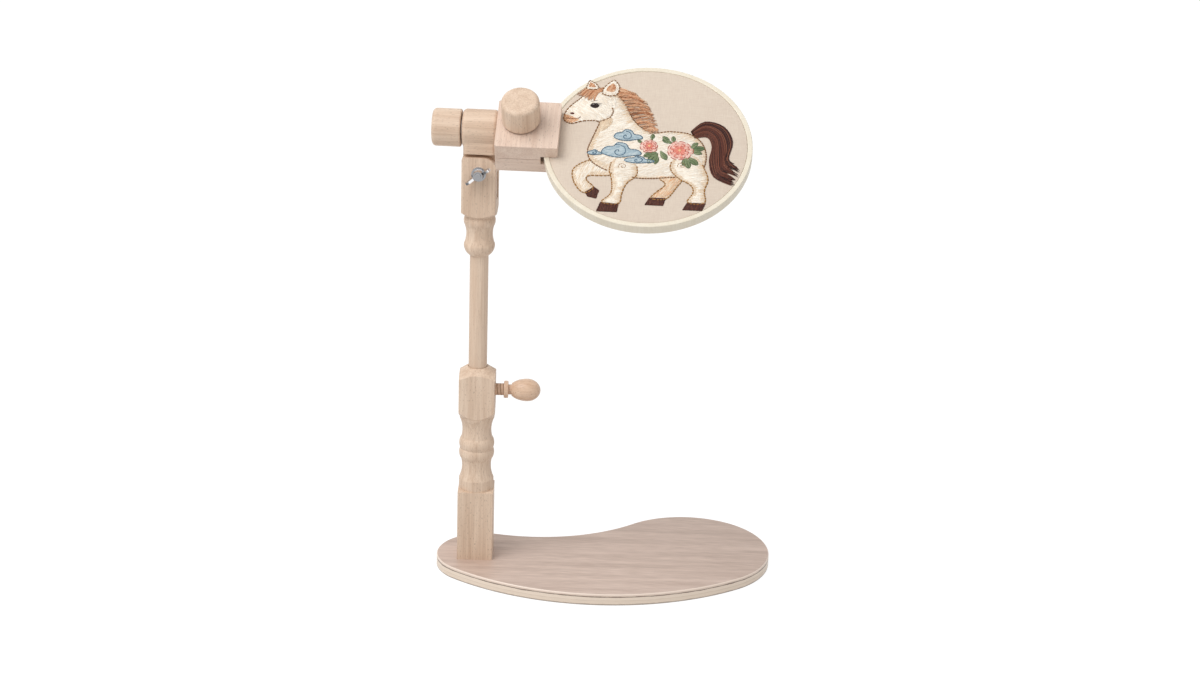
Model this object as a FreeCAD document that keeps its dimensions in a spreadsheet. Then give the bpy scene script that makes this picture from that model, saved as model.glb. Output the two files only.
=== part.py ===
import FreeCAD, Part

import math
import os
import re

import Sketcher
from FreeCAD import Placement, Rotation, Vector

# Embroidery hoop on a table stand. Millimetres, +Z up. The origin is the middle
# of the post on the underside of the base board, +X runs from the post to the
# hoop and -Y is the side that the embroiderer sits at.
#
# Bottom to top: a bean-shaped base board, a turned post of square stock, a rod
# that slides in the post and is held by a wooden screw, a turned fork on the rod,
# a head block that tilts in the fork, a pair of clamp jaws that turns on a stud
# through the head, and a round hoop whose rim is held in the mouth of the jaws.

doc = FreeCAD.newDocument("embroidery_hoop_stand")

# ---------------------------------------------------------------- sizes
SIZES = {
    # base board: two round lobes joined by a hollow back and a bowed front
    "base_thick": 12, "base_arris": 0.8,
    "small_lobe_x": 10, "small_lobe_y": 0, "small_lobe_radius": 48.5,
    "large_lobe_x": 213, "large_lobe_y": 22, "large_lobe_radius": 82,
    "back_radius": 150, "front_radius": 230,
    # screws up through the board into the post
    "screw_radius": 2, "screw_head_radius": 4, "screw_length": 34,
    "screw_sink": 0.8, "screw_offset": 10,
    # lower post, turned from square stock
    "stock_side": 35, "stock_arris": 0.8, "foot_block": 72, "foot_collar": 10.5,
    "collar_radius": 17.1, "cove_length": 20.8, "cove_radius": 32,
    "bead_length": 11.4, "bead_radius": 11, "quirk_radius": 15.2,
    "vee_radius": 16.2, "head_collar": 2.1, "head_block": 51,
    "shoulder_slope": 1.05, "cap_slope": 0.58, "lip_width": 1.2,
    "rod_bore_floor": 38,
    # rod and its fit in the post and in the fork
    "rod_radius": 9, "socket_fit": 0.4, "rod_in_post": 60, "rod_showing": 114.8,
    "rod_in_fork": 36, "rod_chamfer": 1,
    # wooden locking screw in the side of the post
    "lock_below_top": 24, "thread_radius": 5.9, "thread_fit": 0.08,
    "pad_thick": 2.4, "pad_gap": 0.05, "thread_showing": 8.5,
    "lock_collar_radius": 8.3, "lock_collar": 4.2, "lock_neck_radius": 5,
    "lock_neck": 3.4, "egg_foot_radius": 6.2, "egg_radius": 11.1,
    "egg_rise": 15.2, "egg_cap": 13,
    # fork post, turned from slightly slimmer stock
    "mast_yaw": 3, "fork_side": 33, "bell_foot_radius": 9.8, "bell_height": 9.3,
    "bell_radius": 15, "bell_arc": 12.5, "bell_to_cove": 2.1,
    "cove_top_radius": 14.8, "fork_cove": 18.8, "fork_cove_arc": 26,
    "fork_neck_radius": 14.3, "fork_bead": 8.8, "fork_bead_arc": 9.4,
    "fork_quirk": 0.7, "fork_slope": 0.69, "ear_rise": 15.5,
    "fork_block": 60.7, "ear_small_round": 3, "ear_large_round": 12,
    "slot_below_pivot": 28,
    # tilt pivot through the ears
    "bolt_radius": 3, "bolt_fit": 0.05, "bolt_dome_radius": 6.5,
    "bolt_dome_height": 3.6, "bolt_dome_edge": 0.8, "washer_radius": 7,
    "washer_thick": 1.2, "wing_hub_radius": 5.6, "wing_hub_top": 4.6,
    "wing_hub_height": 7.5, "wing_thick": 2.4, "wing_turn": 35,
    "bolt_past_nut": 1.5, "turning_gap": 0.05,
    # outline of a wing, out from the axis and up from the washer
    "wing_root": 3.8, "wing_foot": 0.8, "wing_flat_end": 7, "wing_tip": 13.4,
    "wing_tip_height": 5.6, "wing_top_out": 9.6, "wing_top": 10.9,
    "wing_top_round": 3.6, "wing_root_top": 6.8,
    # head block: a barrel on a neck, with a tongue between the ears
    "head_above_pivot": 40, "barrel_radius": 18.5, "barrel_length": 34,
    "barrel_round": 4, "neck_width": 30, "neck_depth": 31, "neck_round": 3,
    "shoulder_above_pivot": 18.8, "tongue_thick": 11.8, "tongue_fit": 0.2,
    "tongue_width": 32,
    # knobs, both alike, with a threaded nut let into the inner face
    "knob_radius": 18, "knob_height": 27.5, "knob_round": 4, "knob_ease": 1.5,
    "nut_radius": 5, "nut_length": 12, "knob_bore_spare": 3,
    "swivel_thread": 20, "knob_washer_radius": 9,
    # clamp jaws, as a pair turned about the stud
    "clamp_tilt": 33.4, "jaw_gap_to_head": 0.3, "jaw_length": 59,
    "jaw_width": 56.6, "jaw_front": 43, "jaw_thick": 17, "jaw_corner": 1.5,
    "joint_above_stud": 8.5, "jaw_gap": 0.5, "stud_in_jaw": 16,
    "insert_radius": 4.5, "insert_length": 12,
    "mouth_depth": 16.2, "mouth_below": 6, "mouth_above": 4.6,
    "pocket_depth": 12.8, "pocket_width": 46,
    "jaw_bolt_u": 40, "jaw_bolt_v": -10.5, "jaw_bolt_head": 6,
    "jaw_bolt_sink": 3.6, "jaw_bolt_thread": 18,
    "pin_radius": 2.5, "pin_u": 26, "pin_spread": 46, "pin_below": 10,
    "pin_above": 11, "pin_fit": 0.1,
    # hoop: an outer ring with a screw, an inner ring and the cloth between them
    "hoop_radius": 98, "hoop_height": 10.4, "ring_wall": 4.8, "ring_ease": 0.8,
    "hoop_bite": 14.8, "hoop_forward": 8, "cloth_thick": 0.5, "ring_fit": 0.05,
    "cloth_below_rim": 0.1, "ring_split": 3,
    "lug_wall": 1.2, "lug_angle": 8, "lug_height": 8.6, "lug_reach": 10.4,
    "lug_apart": 5, "lug_ear": 1.5, "hoop_screw_radius": 2,
    "hoop_screw_reach": 5.6, "hoop_screw_head": 4, "hoop_screw_grip": 7,
    "hoop_screw_fit": 0.05, "hoop_nut_flats": 7, "hoop_nut_thick": 3.2,
    "hoop_screw_spare": 2,
}

sheet = doc.addObject("Spreadsheet::Sheet", "Sizes")
for row, (name, size) in enumerate(SIZES.items(), start=1):
    sheet.set("A%d" % row, name)
    sheet.set("B%d" % row, str(size))
    sheet.setAlias("B%d" % row, name)
doc.recompute()

# A probe works out what a formula comes to, so that each sketch can be drawn in
# its right place before its constraints take over.
probe = doc.addObject("App::FeaturePython", "Probe")
probe.addProperty("App::PropertyFloat", "Number")


def bound(formula):
    """The formula with each name pointed at its cell in the sheet."""
    def cell(match):
        word = match.group(0)
        return "Sizes." + word if word in SIZES else word
    return re.sub(r"[a-z_]+", cell, str(formula))


def number(formula):
    """What a formula comes to with the sheet's present sizes."""
    probe.setExpression("Number", bound(formula))
    probe.recompute()
    return probe.Number


def bind(item, prop, formula):
    """Tie one property of a document object to a formula."""
    item.setExpression(prop, bound(formula))


def locate(item, at, turn=Rotation()):
    """Place a primitive at three formulas, turned as given."""
    item.Placement = Placement(Vector(), turn)
    for letter, formula in zip("xyz", at):
        bind(item, "Placement.Base." + letter, formula)


# ---------------------------------------------------------------- shapes
TO_X = Rotation(Vector(0, 1, 0), 90)
TO_MINUS_X = Rotation(Vector(0, 1, 0), -90)
TO_Y = Rotation(Vector(1, 0, 0), -90)
TO_MINUS_Y = Rotation(Vector(1, 0, 0), 90)


def block(size, at):
    """A box of three formulas with its low corner at three more."""
    item = doc.addObject("Part::Box", "Block")
    for prop, formula in zip(("Length", "Width", "Height"), size):
        bind(item, prop, formula)
    locate(item, at)
    return item


def cylinder(radius, length, at=(0, 0, 0), turn=Rotation()):
    """A cylinder that starts at three formulas and runs along its turned axis."""
    item = doc.addObject("Part::Cylinder", "Round")
    bind(item, "Radius", radius)
    bind(item, "Height", length)
    locate(item, at, turn)
    return item


def joined(*items):
    item = doc.addObject("Part::MultiFuse", "Joined")
    item.Shapes = list(items)
    return item


def common(*items):
    item = doc.addObject("Part::MultiCommon", "Common")
    item.Shapes = list(items)
    return item


def minus(base, *tools):
    item = doc.addObject("Part::Cut", "Cut")
    item.Base = base
    item.Tool = tools[0] if len(tools) == 1 else joined(*tools)
    return item


def mirrored(source, normal):
    item = doc.addObject("Part::Mirroring", "Mirrored")
    item.Source = source
    item.Normal = normal
    return item


def together(*items):
    item = doc.addObject("Part::Compound", "Together")
    item.Links = list(items)
    return item


def new_sketch(plane, start="0"):
    """A body with a sketch on one of its origin planes, moved off it by start."""
    body = doc.addObject("PartDesign::Body", "Body")
    sketch = body.newObject("Sketcher::SketchObject", "Sketch")
    for feature in body.Origin.OriginFeatures:
        if feature.Role == plane:
            sketch.AttachmentSupport = [(feature, "")]
    sketch.MapMode = "FlatFace"
    bind(sketch, "AttachmentOffset.Base.z", start)
    return body, sketch


def hold(sketch, kind, where, formula):
    """Add one dimension to a sketch and tie it to its formula."""
    row = sketch.addConstraint(Sketcher.Constraint(kind, *where, number(formula)))
    if str(formula) != "0":
        bind(sketch, "Constraints[%d]" % row, formula)


def arc_between(start, end, radius):
    """The short arc to the right of the way from start to end, or to its left
    where radius is negative, and which of its ends is the start."""
    middle = (start + end) * 0.5
    along = end - start
    across = Vector(along.y, -along.x, 0).normalize() * (1 if radius > 0 else -1)
    drop = math.sqrt(radius * radius - along.Length ** 2 / 4)
    centre = middle - across * drop
    angles = [math.atan2(p.y - centre.y, p.x - centre.x) for p in (start, end)]
    circle = Part.Circle(centre, Vector(0, 0, 1), abs(radius))
    if radius > 0:
        return Part.ArcOfCircle(circle, angles[0], angles[1]), 1
    return Part.ArcOfCircle(circle, angles[1], angles[0]), 2


def draw(sketch, outline):
    """Draw a closed outline, anticlockwise. Each corner is two formulas, and a
    third is the radius of the arc that reaches it, negative where hollow."""
    points = [Vector(number(c[0]), number(c[1]), 0) for c in outline]
    first_ends = []
    for index, corner in enumerate(outline):
        start, end = points[index - 1], points[index]
        if len(corner) == 3:
            shape, first = arc_between(start, end, number(corner[2]))
        else:
            shape, first = Part.LineSegment(start, end), 1
        sketch.addGeometry(shape, False)
        first_ends.append(first)
    for index, corner in enumerate(outline):
        after = (index + 1) % len(outline)
        last = 3 - first_ends[index]
        join = Sketcher.Constraint("Coincident", index, last, after, first_ends[after])
        sketch.addConstraint(join)
        hold(sketch, "DistanceX", (index, last), corner[0])
        hold(sketch, "DistanceY", (index, last), corner[1])
        if len(corner) == 3:
            hold(sketch, "Radius", (index,), str(corner[2]).lstrip("-"))


def turned(outline):
    """A body of revolution about its own Z: each corner is a radius and a height."""
    body, sketch = new_sketch("XZ_Plane")
    draw(sketch, outline)
    turn = body.newObject("PartDesign::Revolution", "Turned")
    turn.Profile = sketch
    turn.ReferenceAxis = (sketch, ["V_Axis"])
    turn.Angle = 360
    return body


def prism(outline, start, length, plane="XY_Plane"):
    """An outline padded along the normal of its plane (XY: +Z, XZ: -Y)."""
    body, sketch = new_sketch(plane, start)
    draw(sketch, outline)
    pad = body.newObject("PartDesign::Pad", "Pad")
    pad.Profile = sketch
    bind(pad, "Length", length)
    return body


def rounded(low_x, low_y, high_x, high_y, radius):
    """Outline of a rectangle with rounded corners."""
    lx, ly, hx, hy = ("(%s)" % edge for edge in (low_x, low_y, high_x, high_y))
    return [
        (lx + " + " + radius, ly, radius), (hx + " - " + radius, ly),
        (hx, ly + " + " + radius, radius), (hx, hy + " - " + radius),
        (hx + " - " + radius, hy, radius), (lx + " + " + radius, hy),
        (lx, hy + " - " + radius, radius), (lx, ly + " + " + radius),
    ]


def square_stock(side, start, length):
    """Square stock with eased edges about the Z axis."""
    half = side + " / 2"
    return prism(rounded("-" + half, "-" + half, half, half, "stock_arris"), start, length)


def ring(inner, outer, low, high):
    """Plain ring about Z."""
    return turned([(inner, low), (outer, low), (outer, high), (inner, high)])


PARTS = []


def part(label, item, place=Placement()):
    """Name a finished sub-part and put it in its place."""
    item.Label = label
    item.Placement = place
    PARTS.append(item)
    return item


# ---------------------------------------------------------------- base board
def lobe(name):
    x, y, radius = (number("%s_lobe_%s" % (name, key)) for key in ("x", "y", "radius"))
    return Vector(x, y, 0), radius


def meeting(one, one_reach, two, two_reach, side):
    """The point at two given distances from two centres, on the side asked for."""
    along = two - one
    run = (along.Length ** 2 + one_reach ** 2 - two_reach ** 2) / (2 * along.Length)
    rise = math.sqrt(one_reach ** 2 - run ** 2)
    across = Vector(-along.y, along.x, 0).normalize()
    return one + Vector(along).normalize() * run + across * rise * side


def arc_on(centre, radius, start, end):
    """Anticlockwise arc about a centre between the bearings of two points."""
    circle = Part.Circle(centre, Vector(0, 0, 1), radius)
    angles = [math.atan2(p.y - centre.y, p.x - centre.x) for p in (start, end)]
    return Part.ArcOfCircle(circle, angles[0], angles[1])


base_body, base_sketch = new_sketch("XY_Plane")
small, small_radius = lobe("small")
large, large_radius = lobe("large")
back_radius = number("back_radius")
front_radius = number("front_radius")
back = meeting(small, small_radius + back_radius, large, large_radius + back_radius, 1)
front = meeting(small, front_radius - small_radius, large, front_radius - large_radius, 1)
# front bow, large lobe, hollow back, small lobe, each tangent to the next
base_sketch.addGeometry(arc_on(front, front_radius, small * 2 - front, large * 2 - front))
base_sketch.addGeometry(arc_on(large, large_radius, large * 2 - front, back))
base_sketch.addGeometry(arc_on(back, back_radius, small, large))
base_sketch.addGeometry(arc_on(small, small_radius, back, small * 2 - front))
for one, one_end, two, two_end in ((0, 2, 1, 1), (1, 2, 2, 2), (2, 1, 3, 1), (3, 2, 0, 1)):
    base_sketch.addConstraint(Sketcher.Constraint("Tangent", one, one_end, two, two_end))
hold(base_sketch, "Radius", (0,), "front_radius")
hold(base_sketch, "Radius", (1,), "large_lobe_radius")
hold(base_sketch, "Radius", (2,), "back_radius")
hold(base_sketch, "Radius", (3,), "small_lobe_radius")
for row, name in ((1, "large"), (3, "small")):
    hold(base_sketch, "DistanceX", (row, 3), name + "_lobe_x")
    hold(base_sketch, "DistanceY", (row, 3), name + "_lobe_y")
board = base_body.newObject("PartDesign::Pad", "Board")
board.Profile = base_sketch
bind(board, "Length", "base_thick")
doc.recompute()
flats = ["Face%d" % row for row, face in enumerate(board.Shape.Faces, start=1)
         if abs(face.normalAt(0, 0).z) > 0.99]
arris = base_body.newObject("PartDesign::Chamfer", "Arris")
arris.Base = (board, flats)
bind(arris, "Size", "base_arris")
base_body.Tip = arris


def countersunk(head_start):
    """Outline of a countersunk screw that points up, from a height below it."""
    return turned([
        ("0", head_start), ("screw_head_radius", head_start),
        ("screw_head_radius", "screw_sink"),
        ("screw_radius", "screw_sink + screw_head_radius - screw_radius"),
        ("screw_radius", "screw_length - screw_radius"), ("0", "screw_length")])


def screw_pair(head_start):
    one = countersunk(head_start)
    bind(one, "Placement.Base.x", "screw_offset")
    return one, mirrored(one, Vector(1, 0, 0))


part("base_board", minus(base_body, *screw_pair("-1")))
part("base_screws", together(*screw_pair("screw_sink / 2")))

# ---------------------------------------------------------------- lower post
STOCK_REACH = "0.8 * stock_side"
FOOT_TOP = "base_thick + foot_block"
COVE_LOW = FOOT_TOP + " + foot_collar"
BEAD_LOW = COVE_LOW + " + cove_length"
VEE = BEAD_LOW + " + bead_length"
BEAD_HIGH = VEE + " + bead_length"
COVE_HIGH = BEAD_HIGH + " + cove_length"
SHOULDER = COVE_HIGH + " + head_collar"
POST_TOP = SHOULDER + " + head_block"
LOCK_Z = POST_TOP + " - lock_below_top"
LIP = "rod_radius + socket_fit + lip_width"

post_lathe = turned([
    ("0", "base_thick"), (STOCK_REACH, "base_thick"), (STOCK_REACH, FOOT_TOP),
    ("collar_radius", FOOT_TOP), ("collar_radius", COVE_LOW),
    ("quirk_radius", BEAD_LOW, "-cove_radius"), ("vee_radius", VEE, "bead_radius"),
    ("quirk_radius", BEAD_HIGH, "bead_radius"),
    ("collar_radius", COVE_HIGH, "-cove_radius"), ("collar_radius", SHOULDER),
    (STOCK_REACH, SHOULDER + " + (%s - collar_radius) * shoulder_slope" % STOCK_REACH),
    (STOCK_REACH, POST_TOP + " - (%s - %s) * cap_slope" % (STOCK_REACH, LIP)),
    (LIP, POST_TOP), ("0", POST_TOP)])
post_stock = square_stock("stock_side", "base_thick", POST_TOP + " - base_thick")
rod_bore = cylinder("rod_radius + socket_fit", POST_TOP + " - base_thick - rod_bore_floor",
                    ("0", "0", "base_thick + rod_bore_floor"))
lock_bore = cylinder("thread_radius + thread_fit", "stock_side", ("0", "0", LOCK_Z), TO_X)
part("lower_post", minus(common(post_stock, post_lathe), rod_bore, lock_bore,
                         *screw_pair("screw_sink / 2")))

# ---------------------------------------------------------------- locking screw
# The pad lies against the rod, and the screw bears on the pad.
lock_place = Placement(Vector(0, 0, number(LOCK_Z)), TO_X)
PAD_START = "rod_radius + pad_gap"
SCREW_START = PAD_START + " + pad_thick"
COLLAR_START = "stock_side / 2 + thread_showing"
NECK_START = COLLAR_START + " + lock_collar"
EGG_START = NECK_START + " + lock_neck"
part("lock_pad", turned([
    ("0", PAD_START), ("thread_radius", PAD_START),
    ("thread_radius", SCREW_START), ("0", SCREW_START)]), lock_place)
lock_shank = turned([
    ("0", SCREW_START), ("thread_radius", SCREW_START),
    ("thread_radius", COLLAR_START), ("lock_collar_radius", COLLAR_START),
    ("lock_collar_radius", NECK_START, "lock_collar_radius"),
    ("lock_neck_radius", NECK_START), ("lock_neck_radius", EGG_START), ("0", EGG_START)])
# The egg is two half ellipsoids that meet at its widest place. The longer one
# stops at the neck, where it has come down to the radius of the egg's foot.
EGG_SHARE = "(egg_foot_radius / egg_radius)"
EGG_TAIL = "egg_rise / sqrt(1 - %s * %s)" % (EGG_SHARE, EGG_SHARE)
egg_halves = []
for reach in (EGG_TAIL, "egg_cap"):
    half_egg = doc.addObject("Part::Ellipsoid", "HalfEgg")
    bind(half_egg, "Radius1", reach)
    bind(half_egg, "Radius2", "egg_radius")
    bind(half_egg, "Radius3", "egg_radius")
    locate(half_egg, ("0", "0", EGG_START + " + egg_rise"))
    egg_halves.append(half_egg)
bind(egg_halves[0], "Angle1", "-acos(%s)" % EGG_SHARE)
egg_halves[0].Angle2 = 0
egg_halves[1].Angle1 = 0
part("lock_screw", joined(lock_shank, *egg_halves), lock_place)

# ---------------------------------------------------------------- rod
ROD_FOOT = POST_TOP + " - rod_in_post"
FORK_FOOT = POST_TOP + " + rod_showing"
ROD_TOP = FORK_FOOT + " + rod_in_fork"
mast_place = Placement(Vector(), Rotation(Vector(0, 0, 1), -number("mast_yaw")))
part("rod", turned([
    ("0", ROD_FOOT), ("rod_radius - rod_chamfer", ROD_FOOT),
    ("rod_radius", ROD_FOOT + " + rod_chamfer"), ("rod_radius", ROD_TOP),
    ("0", ROD_TOP)]), mast_place)

# ---------------------------------------------------------------- fork post
BELL_TOP = FORK_FOOT + " + bell_height"
FORK_COVE_LOW = BELL_TOP + " + bell_to_cove"
FORK_COVE_TOP = FORK_COVE_LOW + " + fork_cove"
FORK_BEAD_TOP = FORK_COVE_TOP + " + fork_bead"
FORK_SHOULDER = FORK_BEAD_TOP + " + fork_quirk"
FORK_TOP = FORK_SHOULDER + " + fork_block"
PIVOT_Z = FORK_TOP + " - ear_rise"
fork_lathe = turned([
    ("0", FORK_FOOT), ("bell_foot_radius", FORK_FOOT),
    ("bell_radius", BELL_TOP, "bell_arc"), ("cove_top_radius", FORK_COVE_LOW, "bell_arc"),
    ("fork_neck_radius", FORK_COVE_TOP, "-fork_cove_arc"),
    ("fork_neck_radius", FORK_BEAD_TOP, "fork_bead_arc"),
    ("fork_neck_radius", FORK_SHOULDER),
    (STOCK_REACH, FORK_SHOULDER + " + (%s - fork_neck_radius) * fork_slope" % STOCK_REACH),
    (STOCK_REACH, FORK_TOP), ("0", FORK_TOP)])
HALF = "fork_side / 2"
fork_ears = prism([
    ("-" + HALF, FORK_FOOT), (HALF, FORK_FOOT), (HALF, FORK_TOP + " - ear_large_round"),
    (HALF + " - ear_large_round", FORK_TOP, "ear_large_round"),
    ("-" + HALF + " + ear_small_round", FORK_TOP),
    ("-" + HALF, FORK_TOP + " - ear_small_round", "ear_small_round")],
    "-" + HALF, "fork_side", "XZ_Plane")
fork_stock = square_stock("fork_side", FORK_FOOT, FORK_TOP + " - (%s)" % FORK_FOOT)
SLOT_WIDTH = "(tongue_thick + 2 * tongue_fit)"
SLOT_FLOOR = PIVOT_Z + " - slot_below_pivot"
slot = block(("2 * fork_side", SLOT_WIDTH, "slot_below_pivot + 2 * ear_rise"),
             ("-fork_side", "-%s / 2" % SLOT_WIDTH, SLOT_FLOOR))
socket = cylinder("rod_radius", "rod_in_fork", ("0", "0", FORK_FOOT))


def pivot_bore():
    return cylinder("bolt_radius + bolt_fit", "2 * fork_side",
                    ("0", "-fork_side", PIVOT_Z), TO_Y)


part("fork_post", minus(common(fork_lathe, fork_ears, fork_stock),
                        slot, socket, pivot_bore()), mast_place)

# ---------------------------------------------------------------- tilt pivot
# These run along their own Z, which points to the front through the ears.
pivot_place = mast_place.multiply(Placement(Vector(0, 0, number(PIVOT_Z)), TO_MINUS_Y))
WASHER_TOP = HALF + " + washer_thick"
DOME_ARC = ("((bolt_dome_radius * bolt_dome_radius + (bolt_dome_height - bolt_dome_edge)"
            " * (bolt_dome_height - bolt_dome_edge))"
            " / (2 * (bolt_dome_height - bolt_dome_edge)))")
NUT_FACE = WASHER_TOP + " + turning_gap"
BOLT_END = NUT_FACE + " + wing_hub_height + bolt_past_nut"
part("pivot_bolt", turned([
    ("0", "-%s - bolt_dome_height" % HALF),
    ("bolt_dome_radius", "-%s - bolt_dome_edge" % HALF, DOME_ARC),
    ("bolt_dome_radius", "-" + HALF), ("bolt_radius", "-" + HALF),
    ("bolt_radius", BOLT_END), ("0", BOLT_END)]), pivot_place)
part("pivot_washer", ring("bolt_radius + bolt_fit", "washer_radius", HALF, WASHER_TOP),
     pivot_place)
hub = turned([
    ("bolt_radius + bolt_fit", NUT_FACE), ("wing_hub_radius", NUT_FACE),
    ("wing_hub_top", NUT_FACE + " + wing_hub_height"),
    ("bolt_radius + bolt_fit", NUT_FACE + " + wing_hub_height")])
wing = prism([
    ("wing_root", NUT_FACE + " + wing_foot"), ("wing_flat_end", NUT_FACE + " + wing_foot"),
    ("wing_tip", NUT_FACE + " + wing_tip_height"),
    ("wing_top_out", NUT_FACE + " + wing_top", "wing_top_round"),
    ("wing_root", NUT_FACE + " + wing_root_top")],
    "-wing_thick / 2", "wing_thick", "XZ_Plane")
wing_turn = Placement(Vector(), Rotation(Vector(0, 0, 1), number("wing_turn")))
part("wing_nut", joined(hub, wing, mirrored(wing, Vector(1, 0, 0))),
     pivot_place.multiply(wing_turn))

# ---------------------------------------------------------------- head block
HEAD_Z = PIVOT_Z + " + head_above_pivot"
HALF_BARREL = "barrel_length / 2"
barrel = turned([
    ("0", "-" + HALF_BARREL), ("barrel_radius - barrel_round", "-" + HALF_BARREL),
    ("barrel_radius", "-%s + barrel_round" % HALF_BARREL, "barrel_round"),
    ("barrel_radius", HALF_BARREL + " - barrel_round"),
    ("barrel_radius - barrel_round", HALF_BARREL, "barrel_round"), ("0", HALF_BARREL)])
barrel.Placement = Placement(Vector(0, 0, number(HEAD_Z)), TO_X)
neck = prism(rounded("-neck_width / 2", "-neck_depth / 2", "neck_width / 2",
                     "neck_depth / 2", "neck_round"),
             PIVOT_Z + " + shoulder_above_pivot",
             "head_above_pivot - shoulder_above_pivot")
tongue = prism([
    ("-tongue_width / 2", PIVOT_Z), ("0", PIVOT_Z + " - tongue_width / 2",
                                     "tongue_width / 2"),
    ("tongue_width / 2", PIVOT_Z, "tongue_width / 2"), ("tongue_width / 2", HEAD_Z),
    ("-tongue_width / 2", HEAD_Z)], "-tongue_thick / 2", "tongue_thick", "XZ_Plane")
stud_bore = cylinder("bolt_radius + bolt_fit", "2 * barrel_length",
                     ("-barrel_length", "0", HEAD_Z), TO_X)
part("head_block", minus(joined(barrel, neck, tongue), stud_bore, pivot_bore()),
     mast_place)

# ---------------------------------------------------------------- swivel
# From here on the pieces are drawn about the stud: X along it, Z square to the
# jaws, and the whole set is tilted with the jaws.
clamp_turn = mast_place.Rotation.multiply(Rotation(Vector(1, 0, 0), number("clamp_tilt")))
clamp_place = Placement(Vector(0, 0, number(HEAD_Z)), clamp_turn)


def on_clamp(u, v, w, turn=Rotation()):
    """Placement of a piece that stands at three formulas in the clamp's frame."""
    at = Vector(number(u), number(v), number(w))
    return clamp_place.multiply(Placement(at, turn))


def knob():
    """Wooden knob that stands on its inner face, bored for its nut and thread."""
    lathe = turned([
        ("0", "0"), ("knob_radius - knob_ease", "0"),
        ("knob_radius", "knob_ease", "knob_ease"),
        ("knob_radius", "knob_height - knob_round"),
        ("knob_radius - knob_round", "knob_height", "knob_round"),
        ("0", "knob_height")])
    return minus(lathe, cylinder("nut_radius", "nut_length"),
                 cylinder("bolt_radius + bolt_fit", "swivel_thread + knob_bore_spare"))


def knob_nut():
    return ring("bolt_radius + bolt_fit", "nut_radius", "0", "nut_length")


def knob_washer():
    return ring("bolt_radius + bolt_fit", "knob_washer_radius", "0", "washer_thick")


KNOB_FACE = "-%s - washer_thick - turning_gap" % HALF_BARREL
part("swivel_washer", knob_washer(), on_clamp("-" + HALF_BARREL, "0", "0", TO_MINUS_X))
part("swivel_knob", knob(), on_clamp(KNOB_FACE, "0", "0", TO_MINUS_X))
part("swivel_nut", knob_nut(), on_clamp(KNOB_FACE, "0", "0", TO_MINUS_X))
JAW_START = HALF_BARREL + " + jaw_gap_to_head"
JAW_END = JAW_START + " + jaw_length"
STUD_START = KNOB_FACE + " - swivel_thread"
STUD_LENGTH = "%s + stud_in_jaw - (%s)" % (JAW_START, STUD_START)
part("swivel_stud", turned([
    ("0", "0"), ("bolt_radius", "0"), ("bolt_radius", STUD_LENGTH), ("0", STUD_LENGTH)]),
    on_clamp(STUD_START, "0", "0", TO_X))

# ---------------------------------------------------------------- clamp jaws
JAW_BACK = "jaw_width - jaw_front"
LOWER_START = "joint_above_stud - jaw_thick"
UPPER_START = "joint_above_stud + jaw_gap"
UPPER_TOP = UPPER_START + " + jaw_thick"
MOUTH_START = JAW_END + " - mouth_depth"
MOUTH_LOW = "joint_above_stud - mouth_below"
MOUTH_HIGH = "joint_above_stud + mouth_above"
MOUTH_HEIGHT = "mouth_below + mouth_above"
JAW_MIDDLE = "(jaw_width / 2 - jaw_front)"
BOLT_HEAD_TOP = LOWER_START + " + jaw_bolt_sink"


def jaw(start):
    return prism(rounded(JAW_START, "-jaw_front", JAW_END, JAW_BACK, "jaw_corner"),
                 start, "jaw_thick")


def mouth():
    """The slot that the rim lies in, with a pocket behind it for the hoop's screw."""
    slot_part = block(("2 * mouth_depth", "2 * jaw_width", MOUTH_HEIGHT),
                      (MOUTH_START, "-jaw_front - jaw_width / 2", MOUTH_LOW))
    pocket = block(("pocket_depth + 1", "pocket_width", MOUTH_HEIGHT),
                   (MOUTH_START + " - pocket_depth",
                    JAW_MIDDLE + " - pocket_width / 2", MOUTH_LOW))
    return joined(slot_part, pocket)


def pins(radius):
    """Two guide pins, or the holes for them where the radius is larger."""
    return [cylinder(radius, "pin_below + pin_above",
                     ("pin_u", "%s %s pin_spread / 2" % (JAW_MIDDLE, sign),
                      "joint_above_stud - pin_below")) for sign in "-+"]


BOLT_AT = ("jaw_bolt_u", "jaw_bolt_v")
part("lower_jaw", minus(
    jaw(LOWER_START), mouth(),
    cylinder("insert_radius", "insert_length", (JAW_START, "0", "0"), TO_X),
    cylinder("bolt_radius", "stud_in_jaw", (JAW_START, "0", "0"), TO_X),
    cylinder("bolt_radius", "jaw_thick", BOLT_AT + (LOWER_START,)),
    cylinder("jaw_bolt_head", "jaw_bolt_sink", BOLT_AT + (LOWER_START,)),
    *pins("pin_radius")), clamp_place)
part("jaw_insert", ring("bolt_radius", "insert_radius", "0", "insert_length"),
     on_clamp(JAW_START, "0", "0", TO_X))
JAW_BOLT_END = UPPER_TOP + " + washer_thick + jaw_bolt_thread"
part("jaw_bolt", joined(
    cylinder("jaw_bolt_head", "jaw_bolt_sink", BOLT_AT + (LOWER_START,)),
    cylinder("bolt_radius", "%s - (%s)" % (JAW_BOLT_END, BOLT_HEAD_TOP),
             BOLT_AT + (BOLT_HEAD_TOP,))), clamp_place)
part("jaw_pins", together(*pins("pin_radius")), clamp_place)
part("upper_jaw", minus(
    jaw(UPPER_START), mouth(),
    cylinder("bolt_radius + bolt_fit", "2 * jaw_thick", BOLT_AT + (UPPER_START,)),
    *pins("pin_radius + pin_fit")), clamp_place)
part("clamp_washer", knob_washer(), on_clamp(*BOLT_AT, UPPER_TOP))
CLAMP_KNOB_FACE = UPPER_TOP + " + washer_thick + turning_gap"
part("clamp_knob", knob(), on_clamp(*BOLT_AT, CLAMP_KNOB_FACE))
part("clamp_nut", knob_nut(), on_clamp(*BOLT_AT, CLAMP_KNOB_FACE))

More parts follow.
